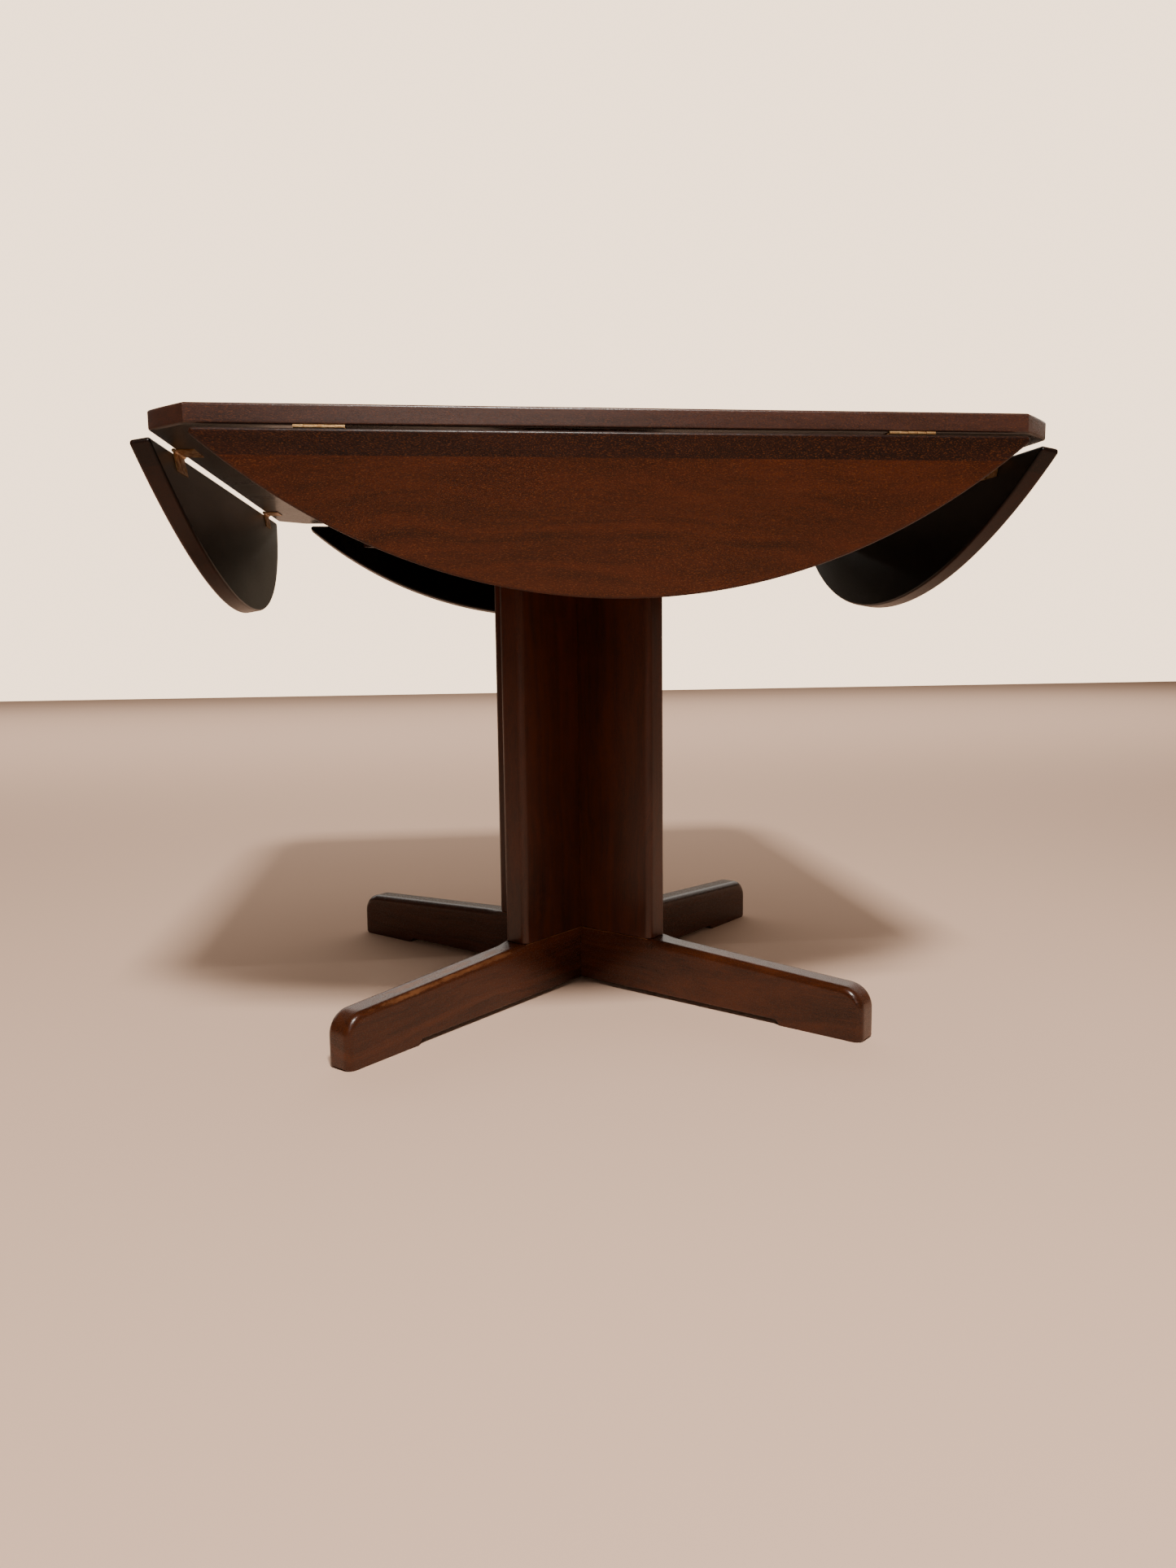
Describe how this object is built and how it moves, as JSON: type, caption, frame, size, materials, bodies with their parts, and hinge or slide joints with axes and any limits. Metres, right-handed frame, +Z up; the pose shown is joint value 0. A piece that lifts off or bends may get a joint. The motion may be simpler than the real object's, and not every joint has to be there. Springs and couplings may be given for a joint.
{
  "type": "drop leaf table",
  "caption": "Square pedestal table on a cross-shaped base; hanging curved leaves lift, the top turns and bearers slide out to make it round.",
  "frame": {"origin": "on the floor under the middle of the column", "axes": "+Z up; the front of the table faces -Y; the foot and upper crosses lie on the diagonals of X and Y"},
  "size_m": [0.9928, 0.9928, 0.737],
  "materials": {
    "top_wood": "stained mahogany, satin lacquer",
    "base_wood": "dark stained mahogany, satin lacquer, worn on the feet",
    "plywood": "raw plywood",
    "brass": "tarnished brass",
    "steel": "zinc-plated steel"
  },
  "bodies": {
    "base": {"foot_rail_a": "base_wood", "foot_rail_b": "base_wood", "column_board_wide": "base_wood", "column_board_back_right": "base_wood", "column_board_front_left": "base_wood", "upper_rail_a": "base_wood", "upper_rail_b": "base_wood", "hub_disc": "plywood", "swivel_lower_plate": "steel", "swivel_ball_ring": "steel", "swivel_rivet": "steel", "foot_screw_front_right": "steel", "arm_screw_front_right": "steel", "guide_screw_front_right": "steel", "foot_screw_back_right": "steel", "arm_screw_back_right": "steel", "guide_screw_back_right": "steel", "foot_screw_back_left": "steel", "arm_screw_back_left": "steel", "guide_screw_back_left": "steel", "foot_screw_front_left": "steel", "arm_screw_front_left": "steel", "guide_screw_front_left": "steel"},
    "top": {"top_panel": "top_wood", "swivel_upper_plate": "steel", "front_hinge_1_top_flap": "brass", "front_hinge_2_top_flap": "brass", "right_hinge_1_top_flap": "brass", "right_hinge_2_top_flap": "brass", "back_hinge_1_top_flap": "brass", "back_hinge_2_top_flap": "brass", "left_hinge_1_top_flap": "brass", "left_hinge_2_top_flap": "brass"},
    "leaf_front": {"leaf_front": "top_wood", "front_hinge_1_leaf_flap": "brass", "front_hinge_1_pin": "brass", "front_hinge_2_leaf_flap": "brass", "front_hinge_2_pin": "brass"},
    "leaf_right": {"leaf_right": "top_wood", "right_hinge_1_leaf_flap": "brass", "right_hinge_1_pin": "brass", "right_hinge_2_leaf_flap": "brass", "right_hinge_2_pin": "brass"},
    "leaf_back": {"leaf_back": "top_wood", "back_hinge_1_leaf_flap": "brass", "back_hinge_1_pin": "brass", "back_hinge_2_leaf_flap": "brass", "back_hinge_2_pin": "brass"},
    "leaf_left": {"leaf_left": "top_wood", "left_hinge_1_leaf_flap": "brass", "left_hinge_1_pin": "brass", "left_hinge_2_leaf_flap": "brass", "left_hinge_2_pin": "brass"},
    "bearer_front_right": {"bearer_front_right": "base_wood"},
    "bearer_back_right": {"bearer_back_right": "base_wood"},
    "bearer_back_left": {"bearer_back_left": "base_wood"},
    "bearer_front_left": {"bearer_front_left": "base_wood"}
  },
  "joints": [
    {"name": "top_swivel", "type": "hinge", "parent": "base", "child": "top", "pos_m": [0, 0, 0.7145], "axis": [0, 0, 1], "range_deg": [0, 45]},
    {"name": "leaf_front_hinge", "type": "hinge", "parent": "top", "child": "leaf_front", "pos_m": [0, -0.475, 0.7145], "axis": [-1, 0, 0], "range_deg": [-20, 99.95]},
    {"name": "leaf_right_hinge", "type": "hinge", "parent": "top", "child": "leaf_right", "pos_m": [0.475, 0, 0.7145], "axis": [0, -1, 0], "range_deg": [-20, 99.95]},
    {"name": "leaf_back_hinge", "type": "hinge", "parent": "top", "child": "leaf_back", "pos_m": [0, 0.475, 0.7145], "axis": [1, 0, 0], "range_deg": [-20, 99.95]},
    {"name": "leaf_left_hinge", "type": "hinge", "parent": "top", "child": "leaf_left", "pos_m": [-0.475, 0, 0.7145], "axis": [0, 1, 0], "range_deg": [-20, 99.95]},
    {"name": "bearer_front_right_slide", "type": "slide", "parent": "base", "child": "bearer_front_right", "axis": [0.7071, -0.7071, 0], "range_m": [0, 0.15]},
    {"name": "bearer_back_right_slide", "type": "slide", "parent": "base", "child": "bearer_back_right", "axis": [0.7071, 0.7071, 0], "range_m": [0, 0.15]},
    {"name": "bearer_back_left_slide", "type": "slide", "parent": "base", "child": "bearer_back_left", "axis": [-0.7071, 0.7071, 0], "range_m": [0, 0.15]},
    {"name": "bearer_front_left_slide", "type": "slide", "parent": "base", "child": "bearer_front_left", "axis": [-0.7071, -0.7071, 0], "range_m": [0, 0.15]}
  ]
}
